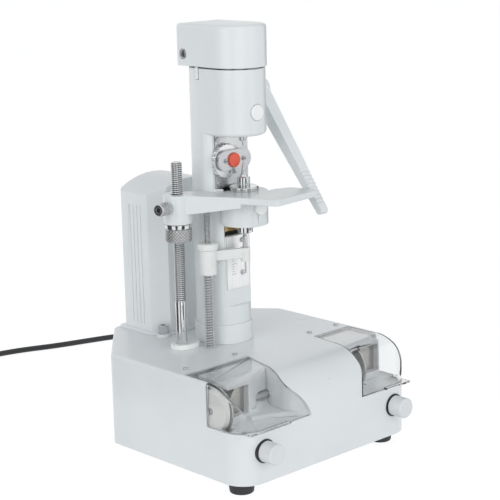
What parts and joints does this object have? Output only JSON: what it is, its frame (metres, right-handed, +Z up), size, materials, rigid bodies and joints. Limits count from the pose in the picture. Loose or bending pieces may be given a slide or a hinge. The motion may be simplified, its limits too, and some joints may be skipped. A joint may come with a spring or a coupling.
{
  "type": "lens drilling machine",
  "caption": "Benchtop lens drilling machine: column drill head with feed lever over a height-adjustable lens table, and shielded disc stations in the base",
  "frame": {"origin": "centre of the footprint of the machine without its cord, on the surface that the rubber feet stand on", "axes": "+X to the operator's right, +Y to the back, +Z up; the feed lever is on the +X side and the knobs face -Y"},
  "size_m": [0.3893, 0.6589, 0.4215],
  "materials": {
    "shell_paint": "semi-gloss pale grey-white paint",
    "polished_steel": "polished",
    "steel": "fine brushed",
    "screw_steel": "turned steel",
    "brass": "milled brass",
    "rubber": "matte dark rubber",
    "clear_shield": "clear moulded plastic",
    "felt": "dense white felt",
    "pale_plastic": "pale moulded plastic",
    "dark_metal": "black",
    "white_plastic": "glossy white",
    "red_plastic": "glossy red",
    "cord_rubber": "black cord sheath",
    "pin_metal": "nickelled brass"
  },
  "bodies": {
    "base": {"base_casing": "shell_paint", "bearing_plate": "shell_paint", "belt_cover": "shell_paint", "bottom_plate": "steel", "column_head": "shell_paint", "column_socket": "shell_paint", "cord_coil": "cord_rubber", "cord_gland": "rubber", "cord_tail": "cord_rubber", "disc_motor": "steel", "drill_motor": "steel", "drive_belt": "rubber", "guide_plates": "steel", "guide_rod": "steel", "housing_screws": "screw_steel", "left_tray": "shell_paint", "machine_screws": "screw_steel", "mains_cord": "cord_rubber", "nose_cap": "white_plastic", "pin_spring": "steel", "plug_body": "cord_rubber", "plug_pins": "pin_metal", "post": "steel", "post_flange": "white_plastic", "quill_spring": "steel", "rear_housing": "shell_paint", "right_tray": "shell_paint", "rubber_feet": "rubber", "scale_plate": "steel", "shield_pins": "steel", "small_screws": "screw_steel", "speed_regulators": "dark_metal", "throat_plate": "polished_steel"},
    "table": {"table_arm": "shell_paint", "lens_rest": "polished_steel", "hub_collar": "polished_steel", "hub_cap": "white_plastic", "brass_key": "brass"},
    "height_nut": {"height_nut": "polished_steel"},
    "lock_screw": {"lock_screw": "polished_steel"},
    "pin_carrier": {"slider": "pale_plastic", "centring_pin": "steel"},
    "stop_nut": {"stop_nut": "pale_plastic"},
    "lever": {"feed_lever": "shell_paint", "feed_crank": "steel"},
    "quill": {"quill": "steel"},
    "spindle": {"spindle": "steel", "drill_bit": "steel"},
    "spindle_pulley": {"spindle_pulley": "steel"},
    "motor_rotor": {"motor_pulley": "steel"},
    "stop_dial": {"stop_dial": "polished_steel"},
    "stop_bar": {"stop_bar": "polished_steel"},
    "stop_button": {"stop_button": "red_plastic"},
    "left_shield": {"left_shield": "clear_shield"},
    "right_shield": {"right_shield": "clear_shield"},
    "disc_set": {"disc_shaft": "steel", "felt_wheel": "felt", "steel_discs": "steel"},
    "left_knob": {"left_knob": "pale_plastic"},
    "right_knob": {"right_knob": "pale_plastic"}
  },
  "joints": [
    {"name": "table_slide", "type": "slide", "parent": "base", "child": "table", "axis": [0, 0, 1], "range_m": [-0.005, 0.002]},
    {"name": "nut_turn", "type": "hinge", "parent": "table", "child": "height_nut", "pos_m": [-0.055, 0.0281, 0.222], "axis": [0, 0, 1], "range_deg": [-900, 360]},
    {"name": "lock_turn", "type": "hinge", "parent": "table", "child": "lock_screw", "pos_m": [-0.055, 0.0281, 0.2485], "axis": [-0.9848, -0.1736, 0], "range_deg": [0, 360]},
    {"name": "pin_slide", "type": "slide", "parent": "base", "child": "pin_carrier", "axis": [0, 0, 1], "range_m": [-0.015, 0], "stiffness_N_per_m": 150, "springref_m": 0.03, "deforming": ["pin_spring"]},
    {"name": "stop_nut_turn", "type": "hinge", "parent": "base", "child": "stop_nut", "pos_m": [-0.035, 0.0084, 0.207], "axis": [0, 0, 1], "range_deg": [-180, 180]},
    {"name": "lever_swing", "type": "hinge", "parent": "base", "child": "lever", "pos_m": [0.051, 0.0301, 0.351], "axis": [1, 0, 0], "range_deg": [0, 22.3]},
    {"name": "quill_slide", "type": "slide", "parent": "base", "child": "quill", "axis": [0, 0, -1], "range_m": [0, 0.015], "stiffness_N_per_m": 500, "springref_m": -0.025, "deforming": ["quill_spring"]},
    {"name": "spindle_spin", "type": "hinge", "parent": "quill", "child": "spindle", "pos_m": [0, -0.0079, 0.33], "axis": [0, 0, 1], "continuous": true},
    {"name": "pulley_spin", "type": "hinge", "parent": "base", "child": "spindle_pulley", "pos_m": [0, -0.0079, 0.392], "axis": [0, 0, 1], "continuous": true},
    {"name": "motor_spin", "type": "hinge", "parent": "base", "child": "motor_rotor", "pos_m": [0, 0.0261, 0.392], "axis": [0, 0, 1], "continuous": true},
    {"name": "dial_turn", "type": "hinge", "parent": "base", "child": "stop_dial", "pos_m": [-0.011, 0.0061, 0.289], "axis": [0, -1, 0], "range_deg": [0, 480]},
    {"name": "stop_slide", "type": "slide", "parent": "base", "child": "stop_bar", "axis": [0, -1, 0], "range_m": [0, 0.002]},
    {"name": "button_press", "type": "slide", "parent": "stop_bar", "child": "stop_button", "axis": [0, 1, 0], "range_m": [0, 0.0012], "stiffness_N_per_m": 30, "springref_m": -0.0005},
    {"name": "left_shield_open", "type": "hinge", "parent": "base", "child": "left_shield", "pos_m": [-0.072, -0.0435, 0.1018], "axis": [-1, 0, 0], "range_deg": [0, 75]},
    {"name": "right_shield_open", "type": "hinge", "parent": "base", "child": "right_shield", "pos_m": [0.087, -0.0435, 0.1018], "axis": [-1, 0, 0], "range_deg": [0, 75]},
    {"name": "disc_spin", "type": "hinge", "parent": "base", "child": "disc_set", "pos_m": [0, -0.0759, 0.077], "axis": [1, 0, 0], "continuous": true},
    {"name": "left_knob_turn", "type": "hinge", "parent": "base", "child": "left_knob", "pos_m": [-0.089, -0.1289, 0.044], "axis": [0, -1, 0], "range_deg": [0, 300]},
    {"name": "right_knob_turn", "type": "hinge", "parent": "base", "child": "right_knob", "pos_m": [0.089, -0.1289, 0.044], "axis": [0, -1, 0], "range_deg": [0, 300]}
  ],
  "couplings": [
    {"joint": "nut_turn", "follows": "table_slide", "rad_per_m": 3141.6},
    {"joint": "quill_slide", "follows": "lever_swing", "m_per_rad": 0.03848},
    {"joint": "pulley_spin", "follows": "motor_spin", "ratio": 1},
    {"joint": "spindle_spin", "follows": "motor_spin", "ratio": 1},
    {"joint": "dial_turn", "follows": "stop_slide", "rad_per_m": 4188.8}
  ]
}
